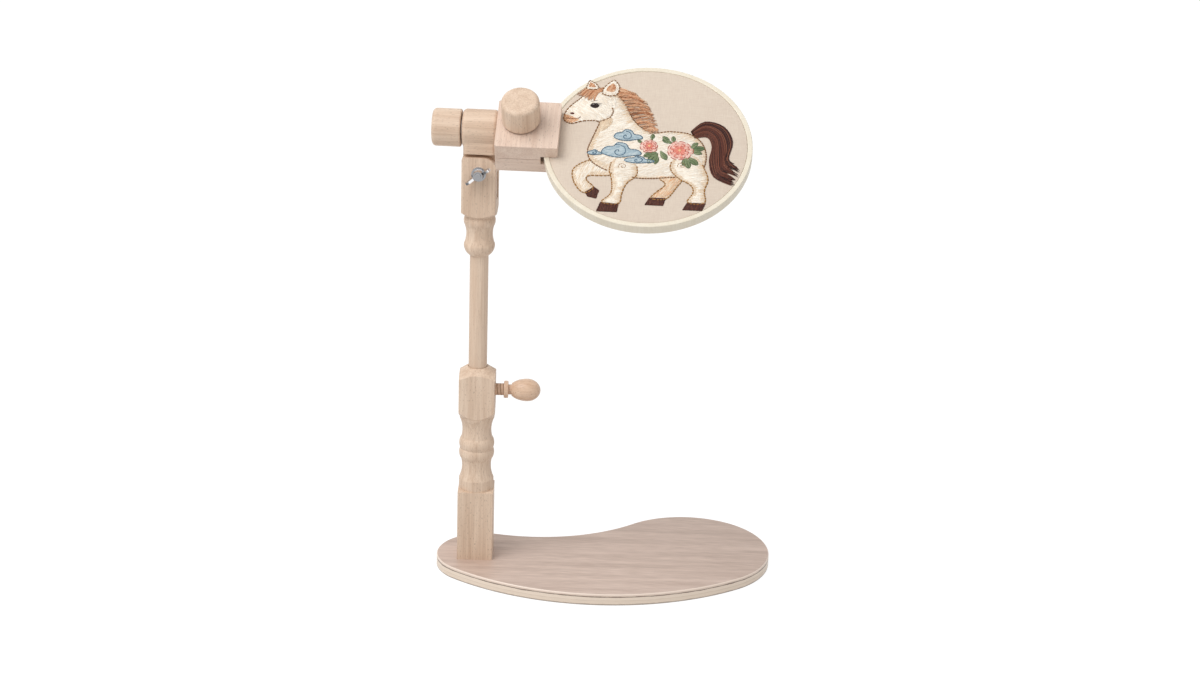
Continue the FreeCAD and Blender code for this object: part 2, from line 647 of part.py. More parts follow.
# ---------------------------------------------------------------- hoop
# Drawn about the hoop's own middle, with +X to the split in the outer ring, which
# lies in the pocket of the jaws.
HOOP_U = JAW_END + " + hoop_radius - hoop_bite"
HOOP_V = JAW_MIDDLE + " - hoop_forward"
HOOP_W = "joint_above_stud + (mouth_above - mouth_below) / 2"
split_bearing = 180 - math.degrees(math.asin(number("hoop_forward / hoop_radius")))
hoop_place = on_clamp(HOOP_U, HOOP_V, HOOP_W, Rotation(Vector(0, 0, 1), split_bearing))
RIM = "hoop_height / 2"
SPLIT_FACE = "hoop_radius - ring_wall"
CLOTH_EDGE = SPLIT_FACE + " - ring_fit"
INNER_EDGE = CLOTH_EDGE + " - cloth_thick - ring_fit"
CLOTH_TOP = RIM + " - cloth_below_rim"
CLOTH_BOTTOM = CLOTH_TOP + " - cloth_thick"


def eased_ring(inner, outer, low, high, ease):
    """Ring about Z with its four edges rounded."""
    return turned(rounded(inner, low, outer, high, ease))


split_cut = block(("2 * ring_wall", "ring_split", "hoop_height"),
                  (SPLIT_FACE + " - ring_wall / 2", "-ring_split / 2", "-" + RIM))
part("outer_ring", minus(eased_ring(SPLIT_FACE, "hoop_radius", "-" + RIM, RIM, "ring_ease"),
                         split_cut), hoop_place)
part("inner_ring", eased_ring(INNER_EDGE + " - ring_wall", INNER_EDGE, "-" + RIM,
                              CLOTH_BOTTOM, "ring_ease / 2"), hoop_place)
part("hoop_cloth", turned([
    ("0", CLOTH_BOTTOM), (CLOTH_EDGE + " - cloth_thick", CLOTH_BOTTOM),
    (CLOTH_EDGE + " - cloth_thick", "-" + RIM), (CLOTH_EDGE, "-" + RIM),
    (CLOTH_EDGE, CLOTH_TOP), ("0", CLOTH_TOP)]), hoop_place)

EAR_START = "lug_apart / 2"
EAR_END = EAR_START + " + lug_ear"


def lug():
    """Metal strap on the outer ring, with an ear that the hoop's screw passes."""
    strap = minus(cylinder("hoop_radius + lug_wall", "lug_height", ("0", "0", "-lug_height / 2")),
                  cylinder("hoop_radius", "lug_height", ("0", "0", "-lug_height / 2")))
    for item in (strap.Base, strap.Tool):
        bind(item, "Angle", "lug_angle")
    turn = Rotation(Vector(0, 0, 1), math.degrees(math.asin(number("ring_split / 2 / hoop_radius"))))
    strap.Placement = Placement(Vector(), turn)
    ear = block(("lug_reach", "lug_ear", "lug_height"),
                ("hoop_radius + lug_wall / 2", EAR_START, "-lug_height / 2"))
    hole = cylinder("hoop_screw_radius + hoop_screw_fit", "2 * lug_apart",
                    ("hoop_radius + hoop_screw_reach", "0", "0"), TO_Y)
    return minus(joined(strap, ear), hole)


part("hoop_lug_front", lug(), hoop_place)
part("hoop_lug_back", mirrored(lug(), Vector(0, 1, 0)), hoop_place)
# the screw runs across the split, with its thumb grip at the front
screw_place = hoop_place.multiply(Placement(
    Vector(number("hoop_radius + hoop_screw_reach"), 0, 0), TO_MINUS_Y))
NUT_END = EAR_END + " + hoop_nut_thick"
SCREW_TAIL = NUT_END + " + hoop_screw_spare"
GRIP_START = "-(%s + hoop_screw_grip)" % EAR_END
part("hoop_screw", turned([
    ("0", GRIP_START), ("hoop_screw_head", GRIP_START),
    ("hoop_screw_head", "-(%s)" % EAR_END), ("hoop_screw_radius", "-(%s)" % EAR_END),
    ("hoop_screw_radius", SCREW_TAIL), ("0", SCREW_TAIL)]), screw_place)
hexagon = doc.addObject("Part::Prism", "Hexagon")
hexagon.Polygon = 6
bind(hexagon, "Circumradius", "hoop_nut_flats / 2 / cos(30)")
bind(hexagon, "Height", "hoop_nut_thick")
locate(hexagon, ("0", "0", EAR_END))
part("hoop_nut", minus(hexagon, cylinder(
    "hoop_screw_radius + hoop_screw_fit", "2 * hoop_nut_thick",
    ("0", "0", EAR_END))), screw_place)

# ---------------------------------------------------------------- check and save
doc.recompute()
for item in doc.Objects:
    if "Invalid" in item.State or "Error" in item.State:
        raise RuntimeError("%s (%s) did not build: %s" % (item.Name, item.Label, item.State))
for item in PARTS:
    if item.Shape.isNull() or not item.Shape.isValid() or not item.Shape.Solids:
        raise RuntimeError(item.Label + " is not a sound solid")
os.makedirs("parts", exist_ok=True)
for item in PARTS:
    item.Shape.exportStep(os.path.join("parts", item.Label + ".step"))
print(len(PARTS), "sub-parts written")
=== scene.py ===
import math
import random

import bmesh
import bpy
from mathutils import Euler, Matrix, Vector


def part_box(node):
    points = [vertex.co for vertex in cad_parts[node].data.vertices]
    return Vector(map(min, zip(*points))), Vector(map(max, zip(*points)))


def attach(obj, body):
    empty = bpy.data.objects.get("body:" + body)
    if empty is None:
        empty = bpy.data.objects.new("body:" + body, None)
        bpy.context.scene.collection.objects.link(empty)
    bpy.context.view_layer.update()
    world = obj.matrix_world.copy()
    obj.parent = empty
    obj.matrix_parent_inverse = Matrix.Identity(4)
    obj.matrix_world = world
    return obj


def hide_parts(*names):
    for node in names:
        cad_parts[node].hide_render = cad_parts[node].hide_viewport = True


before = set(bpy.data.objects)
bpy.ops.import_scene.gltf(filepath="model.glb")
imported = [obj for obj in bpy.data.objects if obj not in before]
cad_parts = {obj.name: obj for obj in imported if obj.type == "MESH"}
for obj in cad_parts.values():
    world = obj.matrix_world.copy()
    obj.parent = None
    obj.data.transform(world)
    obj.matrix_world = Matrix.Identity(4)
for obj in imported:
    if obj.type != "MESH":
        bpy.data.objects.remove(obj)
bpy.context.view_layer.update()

# ------------------------------------------------------------------ the room
# A white table top under a white sky, lit by one large soft lamp from the upper
# left and a weaker one from the right. Seen directly or mirrored, both stay white.


def node_maker(owner):
    """Empty the tree of a material or world and return what adds and wires nodes."""
    owner.use_nodes = True
    tree = owner.node_tree
    tree.nodes.clear()

    def add(kind, inputs=None, **settings):
        node = tree.nodes.new(kind)
        for name, value in settings.items():
            setattr(node, name, value)
        for key, value in (inputs or {}).items():
            if isinstance(value, bpy.types.NodeSocket):
                tree.links.new(value, node.inputs[key])
            else:
                node.inputs[key].default_value = value
        return node
    return add


FLOOR_HALF = 6
floor_mesh = bpy.data.meshes.new("floor")
floor_build = bmesh.new()
bmesh.ops.create_grid(floor_build, x_segments=1, y_segments=1, size=FLOOR_HALF)
floor_build.to_mesh(floor_mesh)
floor_build.free()
floor = bpy.data.objects.new("floor", floor_mesh)
bpy.context.scene.collection.objects.link(floor)
floor_paint = bpy.data.materials.new("white table top")
add = node_maker(floor_paint)
seen = add("ShaderNodeLightPath")
direct = add("ShaderNodeMath", {0: seen.outputs["Is Camera Ray"],
                                1: seen.outputs["Is Glossy Ray"]}, operation="MAXIMUM")
bounce = add("ShaderNodeBsdfDiffuse", {"Color": (0.80, 0.80, 0.80, 1)})
shaded = add("ShaderNodeBsdfDiffuse", {"Color": (0.20, 0.20, 0.20, 1)})
glow = add("ShaderNodeEmission", {"Color": (1, 1, 1, 1), "Strength": 0.90})
bright = add("ShaderNodeAddShader", {0: shaded.outputs[0], 1: glow.outputs[0]})
either = add("ShaderNodeMixShader", {0: direct.outputs[0], 1: bounce.outputs[0],
                                     2: bright.outputs[0]})
add("ShaderNodeOutputMaterial", {"Surface": either.outputs[0]})
floor_mesh.materials.append(floor_paint)

world = bpy.data.worlds.new("sky")
bpy.context.scene.world = world
add = node_maker(world)
seen = add("ShaderNodeLightPath")
direct = add("ShaderNodeMath", {0: seen.outputs["Is Camera Ray"],
                                1: seen.outputs["Is Glossy Ray"]}, operation="MAXIMUM")
pale_sky = add("ShaderNodeBackground", {"Color": (1, 1, 1, 1), "Strength": 0.54})
white_sky = add("ShaderNodeBackground", {"Color": (1, 1, 1, 1), "Strength": 1.0})
either = add("ShaderNodeMixShader", {0: direct.outputs[0], 1: pale_sky.outputs[0],
                                     2: white_sky.outputs[0]})
add("ShaderNodeOutputWorld", {"Surface": either.outputs[0]})


def soft_lamp(name, at, width, power):
    """A square lamp that faces the middle of the stand."""
    lamp = bpy.data.lights.new(name, "AREA")
    lamp.shape = "SQUARE"
    lamp.size = width
    lamp.energy = power
    holder = bpy.data.objects.new(name, lamp)
    bpy.context.scene.collection.objects.link(holder)
    holder.location = at
    way = Vector(STAND_MIDDLE) - Vector(at)
    holder.rotation_euler = way.to_track_quat("-Z", "Y").to_euler()


STAND_MIDDLE = (0.1, 0, 0.25)
soft_lamp("window", (-1.1, -1.0, 2.5), width=1.8, power=49)
soft_lamp("reflector", (1.6, -1.6, 0.9), width=1.4, power=2.5)

# The camera stands 2.5 m in front, a little right of the post, and looks down.
camera_data = bpy.data.cameras.new("camera")
camera_data.sensor_width = 36
camera_data.lens = 82.06
camera_data.clip_end = 50
camera = bpy.data.objects.new("camera", camera_data)
bpy.context.scene.collection.objects.link(camera)
pitch = math.radians(20.003)
roll = math.radians(1.708)
camera.matrix_world = (Matrix.Translation((0.1185, -2.5, 1.155))
                       @ Euler((math.pi / 2 - pitch, 0, 0)).to_matrix().to_4x4()
                       @ Matrix.Rotation(roll, 4, "Z"))
bpy.context.scene.camera = camera
bpy.context.scene.view_settings.view_transform = "Standard"

# ------------------------------------------------------------------ turned beech
# The post, rod, fork, head, jaws, knobs and the wooden screw are planed and
# turned from pale steamed beech with its short dark flecks, sanded and waxed.
TILT = Euler((math.radians(33.4), 0, 0)).to_matrix()
YAW = Matrix.Rotation(math.radians(-3), 3, "Z")
UPRIGHT = Matrix.Identity(3)
ALONG_X = Matrix.Rotation(math.radians(90), 3, "Y")
ALONG_Y = Matrix.Rotation(math.radians(90), 3, "X")
THREAD_LEAN = 0.12


def wood(name, turn, pale, dark, roughness=0.5, fleck=0.5, seed=0.0,
         turned_thread=None):
    """Beech with its grain along the Z of a turned frame.

    turned_thread, where there is one, gives the start and end of a thread along X and its
    pitch, and paints dark shade into its grooves.
    """
    material = bpy.data.materials.new(name)
    add = node_maker(material)
    place = add("ShaderNodeTexCoord").outputs["Object"]
    local = add("ShaderNodeMapping", {"Vector": place, "Location": (seed, seed * 0.7, 0),
                                      "Rotation": turn.transposed().to_euler()})

    def stretched(across, along, detail, rough=0.5):
        size = add("ShaderNodeVectorMath", {0: local.outputs[0],
                                            1: (across, across, along)}, operation="MULTIPLY")
        return add("ShaderNodeTexNoise", {"Vector": size.outputs[0], "Scale": 1.0,
                                          "Detail": detail, "Roughness": rough})

    bands = stretched(90, 6, 3)
    streaks = stretched(620, 16, 3)
    pores = stretched(2300, 130, 1)
    rays = stretched(1500, 360, 0)
    tone = add("ShaderNodeMix", {"Factor": 0.5, 2: bands.outputs["Fac"],
                                 3: streaks.outputs["Fac"]}, data_type="FLOAT")
    tone_ramp = add("ShaderNodeValToRGB", {"Fac": tone.outputs[0]})
    tone_ramp.color_ramp.elements[0].position = 0.36
    tone_ramp.color_ramp.elements[1].position = 0.64
    tone_ramp.color_ramp.elements[0].color = (*dark, 1)
    tone_ramp.color_ramp.elements[1].color = (*pale, 1)
    ray_mask = add("ShaderNodeMapRange", {"Value": rays.outputs["Fac"], "From Min": 0.68,
                                          "From Max": 0.78, "To Min": 0.0, "To Max": fleck})
    pore_mask = add("ShaderNodeMapRange", {"Value": pores.outputs["Fac"], "From Min": 0.62,
                                           "From Max": 0.8, "To Min": 0.0, "To Max": 0.30})
    marks = add("ShaderNodeMath", {0: ray_mask.outputs[0], 1: pore_mask.outputs[0]},
                operation="MAXIMUM")
    deep = tuple(c * 0.55 for c in dark)
    coloured = add("ShaderNodeMix", {"Factor": marks.outputs[0],
                                     6: tone_ramp.outputs[0], 7: (*deep, 1)}, data_type="RGBA")
    shine = add("ShaderNodeMapRange", {"Value": streaks.outputs["Fac"], "To Min": roughness - 0.06,
                                       "To Max": roughness + 0.08})
    # Painted shade: dark brown lines where the grooves of an unmodelled thread would lie in
    # shadow.
    if turned_thread:
        start, end, pitch = turned_thread
        spot = add("ShaderNodeSeparateXYZ", {"Vector": place})
        slant = add("ShaderNodeMath", {0: spot.outputs["Z"], 1: THREAD_LEAN, 2: spot.outputs["X"]},
                    operation="MULTIPLY_ADD")
        turns = add("ShaderNodeMath", {0: slant.outputs[0], 1: 2 * math.pi / pitch},
                    operation="MULTIPLY")
        wave = add("ShaderNodeMath", {0: turns.outputs[0]}, operation="SINE")
        groove = add("ShaderNodeMapRange", {"Value": wave.outputs[0], "From Min": 0.2,
                                            "From Max": 0.9})
        after = add("ShaderNodeMath", {0: spot.outputs["X"], 1: start},
                    operation="GREATER_THAN")
        before = add("ShaderNodeMath", {0: spot.outputs["X"], 1: end},
                     operation="LESS_THAN")
        both = add("ShaderNodeMath", {0: after.outputs[0], 1: before.outputs[0]},
                   operation="MULTIPLY")
        painted_groove_shade = add("ShaderNodeMath", {0: groove.outputs[0], 1: both.outputs[0]},
                  operation="MULTIPLY")
        coloured = add("ShaderNodeMix", {"Factor": painted_groove_shade.outputs[0], 6: coloured.outputs[2],
                                         7: (0.32, 0.18, 0.10, 1)}, data_type="RGBA")
    relief = add("ShaderNodeMath", {0: pores.outputs["Fac"], 1: streaks.outputs["Fac"]},
                 operation="ADD")
    bump = add("ShaderNodeBump", {"Strength": 0.10, "Distance": 0.0002,
                                  "Height": relief.outputs[0]})
    surface = add("ShaderNodeBsdfPrincipled", {
        "Base Color": coloured.outputs[2], "Roughness": shine.outputs[0],
        "Normal": bump.outputs[0], "Specular IOR Level": 0.35})
    add("ShaderNodeOutputMaterial", {"Surface": surface.outputs[0]})
    return material


def finish_node(name, material):
    """Give a carried-over piece its material."""
    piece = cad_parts[name]
    piece.data.materials.clear()
    piece.data.materials.append(material)
    return piece


PALE = (0.79, 0.62, 0.48)
DARK = (0.60, 0.43, 0.31)
HEAD_TURN = YAW @ TILT
finish_node("lower_post", wood("beech post", UPRIGHT, PALE, DARK, seed=0.0))
finish_node("rod", wood("beech rod", UPRIGHT, PALE, DARK, fleck=0.2, seed=0.3))
finish_node("fork_post", wood("beech fork", YAW, PALE, DARK, seed=0.6))
finish_node("head_block", wood("beech head", YAW @ ALONG_X, PALE, DARK, seed=0.9))
screw_wood = wood("beech screw", ALONG_X, (0.76, 0.55, 0.40), (0.62, 0.41, 0.28),
                  roughness=0.3, seed=1.2, turned_thread=(0.012, 0.0262, 0.0032))
finish_node("lock_screw", screw_wood)
finish_node("swivel_knob", wood("beech side knob", YAW @ ALONG_X, PALE, DARK, seed=1.5))
finish_node("clamp_knob", wood("beech top knob", HEAD_TURN, PALE, DARK, seed=1.8))
JAW_PALE = (0.80, 0.64, 0.53)
JAW_DARK = (0.65, 0.48, 0.38)
finish_node("upper_jaw", wood("beech upper jaw", HEAD_TURN @ ALONG_Y, JAW_PALE, JAW_DARK,
                              seed=2.1))
finish_node("lower_jaw", wood("beech lower jaw", HEAD_TURN @ ALONG_X, JAW_PALE, JAW_DARK,
                              seed=2.4))
HOOP_PALE = (0.84, 0.77, 0.64)
HOOP_DARK = (0.78, 0.70, 0.56)
finish_node("outer_ring", wood("hoop wood", HEAD_TURN, HOOP_PALE, HOOP_DARK,
                               roughness=0.42, fleck=0.15, seed=2.7))
finish_node("inner_ring", wood("inner hoop wood", HEAD_TURN, HOOP_PALE, HOOP_DARK,
                               fleck=0.15, seed=3.0))

# ------------------------------------------------------------------ base board
# A board of pale core between two thin dark plies and veneered faces. The edge
# shows the layers as stripes, and the top is stained a pinkish brown.
board = bpy.data.materials.new("layered board")
add = node_maker(board)
place = add("ShaderNodeTexCoord").outputs["Object"]
grain_size = add("ShaderNodeVectorMath", {0: place, 1: (6, 90, 300)}, operation="MULTIPLY")
grain = add("ShaderNodeTexNoise", {"Vector": grain_size.outputs[0], "Scale": 1.0, "Detail": 3})
fine_size = add("ShaderNodeVectorMath", {0: place, 1: (60, 1300, 600)}, operation="MULTIPLY")
fine = add("ShaderNodeTexNoise", {"Vector": fine_size.outputs[0], "Scale": 1.0, "Detail": 2})
mixed = add("ShaderNodeMix", {"Factor": 0.5, 2: grain.outputs["Fac"],
                              3: fine.outputs["Fac"]}, data_type="FLOAT")
face = add("ShaderNodeValToRGB", {"Fac": mixed.outputs[0]})
face.color_ramp.elements[0].position = 0.38
face.color_ramp.elements[1].position = 0.62
face.color_ramp.elements[0].color = (0.47, 0.345, 0.28, 1)
face.color_ramp.elements[1].color = (0.66, 0.51, 0.43, 1)
height = add("ShaderNodeSeparateXYZ", {"Vector": place})
wander_size = add("ShaderNodeVectorMath", {0: place, 1: (90, 90, 900)}, operation="MULTIPLY")
wander = add("ShaderNodeTexNoise", {"Vector": wander_size.outputs[0], "Scale": 1.0,
                                    "Detail": 3})
level = add("ShaderNodeMath", {0: wander.outputs["Fac"], 1: 0.0013, 2: -0.00065},
            operation="MULTIPLY_ADD")
uneven = add("ShaderNodeMath", {0: height.outputs["Z"], 1: level.outputs[0]}, operation="ADD")
layer = add("ShaderNodeMapRange", {"Value": uneven.outputs[0], "From Min": 0.0,
                                   "From Max": 0.012})
plies = add("ShaderNodeValToRGB", {"Fac": layer.outputs[0]})
plies.color_ramp.interpolation = "CONSTANT"
plies.color_ramp.elements[0].color = (0.42, 0.34, 0.28, 1)
plies.color_ramp.elements[1].color = (0.84, 0.70, 0.60, 1)
plies.color_ramp.elements[1].position = 0.90
for spot, tint in ((0.13, (0.80, 0.67, 0.55, 1)), (0.40, (0.72, 0.59, 0.48, 1)),
                   (0.46, (0.83, 0.70, 0.58, 1)), (0.72, (0.22, 0.155, 0.12, 1)),
                   (0.80, (0.74, 0.60, 0.50, 1))):
    stripe = plies.color_ramp.elements.new(spot)
    stripe.color = tint
normal = add("ShaderNodeNewGeometry").outputs["Normal"]
upward = add("ShaderNodeSeparateXYZ", {"Vector": normal})
flat_face = add("ShaderNodeMath", {0: upward.outputs["Z"]}, operation="ABSOLUTE")
is_face = add("ShaderNodeMath", {0: flat_face.outputs[0], 1: 0.9}, operation="GREATER_THAN")
colour = add("ShaderNodeMix", {"Factor": is_face.outputs[0], 6: plies.outputs[0],
                               7: face.outputs[0]}, data_type="RGBA")
ripple = add("ShaderNodeBump", {"Strength": 0.08, "Distance": 0.0002,
                                "Height": fine.outputs["Fac"]})
skin = add("ShaderNodeBsdfPrincipled", {"Base Color": colour.outputs[2], "Roughness": 0.42,
                                        "Normal": ripple.outputs[0]})
add("ShaderNodeOutputMaterial", {"Surface": skin.outputs[0]})
finish_node("base_board", board)

# ------------------------------------------------------------------ metal parts
# Bright plated wing nut and coach bolt, plain steel studs, washers and pins, and
# brass nuts, straps and hoop screw, all lightly rubbed.


def metal(name, colour, roughness, painted_reflection_dim=1.0):
    """A rubbed metal whose colour is darkened by a factor where it reflects downwards: a painted
    reflection of a dark room below it.
    """
    material = bpy.data.materials.new(name)
    add = node_maker(material)
    place = add("ShaderNodeTexCoord").outputs["Object"]
    rub = add("ShaderNodeTexNoise", {"Vector": place, "Scale": 900.0, "Detail": 3})
    worn = add("ShaderNodeMapRange", {"Value": rub.outputs["Fac"], "To Min": roughness * 0.7,
                                      "To Max": roughness * 1.4})
    tint = add("ShaderNodeMix", {"Factor": rub.outputs["Fac"], 6: (*colour, 1),
                                 7: (*(c * 0.86 for c in colour), 1)}, data_type="RGBA")
    # Painted reflection: the colour darkens where the reflection points down, standing in for a
    # dark room mirrored in the metal.
    mirrored = add("ShaderNodeSeparateXYZ", {
        "Vector": add("ShaderNodeTexCoord").outputs["Reflection"]})
    painted_room_reflection = add("ShaderNodeMapRange", {"Value": mirrored.outputs["Z"], "From Min": -0.6,
                                      "From Max": 0.3, "To Min": painted_reflection_dim, "To Max": 1.0})
    tint = add("ShaderNodeVectorMath", {0: tint.outputs[2], 1: painted_room_reflection.outputs[0]},
               operation="MULTIPLY")
    bump = add("ShaderNodeBump", {"Strength": 0.05, "Distance": 0.0001,
                                  "Height": rub.outputs["Fac"]})
    skin = add("ShaderNodeBsdfPrincipled", {
        "Base Color": tint.outputs[0], "Metallic": 1.0, "Roughness": worn.outputs[0],
        "Normal": bump.outputs[0]})
    add("ShaderNodeOutputMaterial", {"Surface": skin.outputs[0]})
    return material


# The bright plate's painted reflection darkens its colour to a fifth where it mirrors what lies
# below.
plated = metal("bright plate", (0.74, 0.74, 0.76), 0.16, painted_reflection_dim=0.2)
steel = metal("plain steel", (0.55, 0.55, 0.57), 0.3)
brass = metal("brass", (0.72, 0.55, 0.26), 0.28)
for name in ("wing_nut", "pivot_bolt", "pivot_washer"):
    finish_node(name, plated)
for name in ("swivel_washer", "swivel_stud", "jaw_bolt", "jaw_pins", "clamp_washer",
             "base_screws"):
    finish_node(name, steel)
for name in ("swivel_nut", "clamp_nut", "jaw_insert", "hoop_lug_front", "hoop_lug_back",
             "hoop_screw", "hoop_nut"):
    finish_node(name, brass)

# ------------------------------------------------------------------ leather pad
# A small disc of pressed leather between the wooden screw and the rod. Its fibres
# lie one way, so it takes the wood's mottled pattern in dark browns.
leather = wood("pressed leather pad", ALONG_X, (0.24, 0.13, 0.07), (0.18, 0.09, 0.05),
               roughness=0.7, fleck=0.1)
finish_node("lock_pad", leather)

# ------------------------------------------------------------------ cloth
# A round of plain natural linen, drawn tight over the inner ring and pinched by
# the outer one, so that a short skirt runs down between the two.
low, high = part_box("inner_ring")
HOOP = Matrix.Translation((low + high) / 2) @ (YAW @ TILT).to_4x4()
MM = 0.001
SKIRT_RADIUS = 93.1
CLOTH_TOP = 5.1
SKIRT_END = -4.8
FOLD = 0.7
CLOTH_THICK = 0.4


def from_mesh(name, build, material):
    """Make an object of a mesh that was built in the hoop's frame, in millimetres."""
    build.transform(HOOP @ Matrix.Scale(MM, 4))
    mesh = bpy.data.meshes.new(name)
    build.to_mesh(mesh)
    build.free()
    mesh.polygons.foreach_set("use_smooth", [True] * len(mesh.polygons))
    mesh.materials.append(material)
    piece = bpy.data.objects.new(name, mesh)
    bpy.context.scene.collection.objects.link(piece)
    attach(piece, "hoop")
    return piece


linen = bpy.data.materials.new("natural linen")
add = node_maker(linen)
place = add("ShaderNodeTexCoord").outputs["Object"]
flat = add("ShaderNodeMapping", {"Vector": place,
                                 "Rotation": (YAW @ TILT).transposed().to_euler()})
weave = []
for size in ((2600, 140, 1), (140, 2600, 1)):
    stretched = add("ShaderNodeVectorMath", {0: flat.outputs[0], 1: size}, operation="MULTIPLY")
    weave.append(add("ShaderNodeTexNoise", {"Vector": stretched.outputs[0], "Scale": 1.0,
                                            "Detail": 2}))
woven = add("ShaderNodeMath", {0: weave[0].outputs["Fac"], 1: weave[1].outputs["Fac"]},
            operation="ADD")
# Painted light and shade: a large soft noise lightens and darkens the linen as if it lay in gentle
# folds.
painted_fold_shading = add("ShaderNodeTexNoise", {"Vector": flat.outputs[0], "Scale": 14.0, "Detail": 2})
tone = add("ShaderNodeMapRange", {"Value": woven.outputs[0], "From Min": 0.75,
                                  "From Max": 1.25})
weave_and_fold_shading = add("ShaderNodeMix", {"Factor": 0.45, 2: tone.outputs[0],
                                   3: painted_fold_shading.outputs["Fac"]}, data_type="FLOAT")
yarn = add("ShaderNodeMix", {"Factor": weave_and_fold_shading.outputs[0], 6: (0.61, 0.50, 0.41, 1),
                             7: (0.75, 0.65, 0.54, 1)}, data_type="RGBA")
cloth_bump = add("ShaderNodeBump", {"Strength": 0.35, "Distance": 0.0002,
                                    "Height": woven.outputs[0]})
cloth_skin = add("ShaderNodeBsdfPrincipled", {
    "Base Color": yarn.outputs[2], "Roughness": 0.9, "Normal": cloth_bump.outputs[0],
    "Sheen Weight": 0.15, "Specular IOR Level": 0.15})
add("ShaderNodeOutputMaterial", {"Surface": cloth_skin.outputs[0]})

build = bmesh.new()
profile = [(SKIRT_RADIUS, SKIRT_END), (SKIRT_RADIUS, CLOTH_TOP - FOLD)]
for step in range(1, 5):
    turn = math.radians(22.5 * step)
    profile.append((SKIRT_RADIUS - FOLD + FOLD * math.cos(turn),
                    CLOTH_TOP - FOLD + FOLD * math.sin(turn)))
profile += [(SKIRT_RADIUS * share, CLOTH_TOP) for share in (0.9, 0.7, 0.5, 0.3, 0.1, 0)]
corners = [build.verts.new((r, 0, z)) for r, z in profile]
edges = [build.edges.new(pair) for pair in zip(corners, corners[1:])]
bmesh.ops.spin(build, geom=corners + edges, cent=(0, 0, 0), axis=(0, 0, 1),
               angle=2 * math.pi, steps=128, use_merge=True)
bmesh.ops.remove_doubles(build, verts=build.verts, dist=1e-4)
bmesh.ops.recalc_face_normals(build, faces=build.faces)
if max(build.faces, key=lambda f: f.calc_center_median().z).normal.z < 0:
    bmesh.ops.reverse_faces(build, faces=build.faces)
cloth = from_mesh("stretched_cloth", build, linen)
thick = cloth.modifiers.new("thickness", "SOLIDIFY")
thick.thickness = CLOTH_THICK * MM
thick.offset = -1
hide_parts("hoop_cloth")

# ------------------------------------------------------------------ embroidery
# Needlework in stranded cotton, worked by hand through the cloth: padded shapes
# filled with long and short stitches, lines of back stitch and loose strands.
rng = random.Random(7)
THREAD = 0.8
OVERLAP = 0.4
PAD = 0.2
RAISED = CLOTH_TOP + 0.02


def ink(red, green, blue):
    """A thread colour as shops print it, 0 to 255, made linear."""
    return tuple((c / 255 / 12.92) if c < 11 else ((c / 255 + 0.055) / 1.055) ** 2.4
                 for c in (red, green, blue))


thread_paint = bpy.data.materials.new("stranded cotton")
add = node_maker(thread_paint)
dye = add("ShaderNodeAttribute", attribute_name="thread")
thread_skin = add("ShaderNodeBsdfPrincipled", {
    "Base Color": dye.outputs["Color"], "Roughness": 0.55, "Sheen Weight": 0.05,
    "Specular IOR Level": 0.2})
add("ShaderNodeOutputMaterial", {"Surface": thread_skin.outputs[0]})


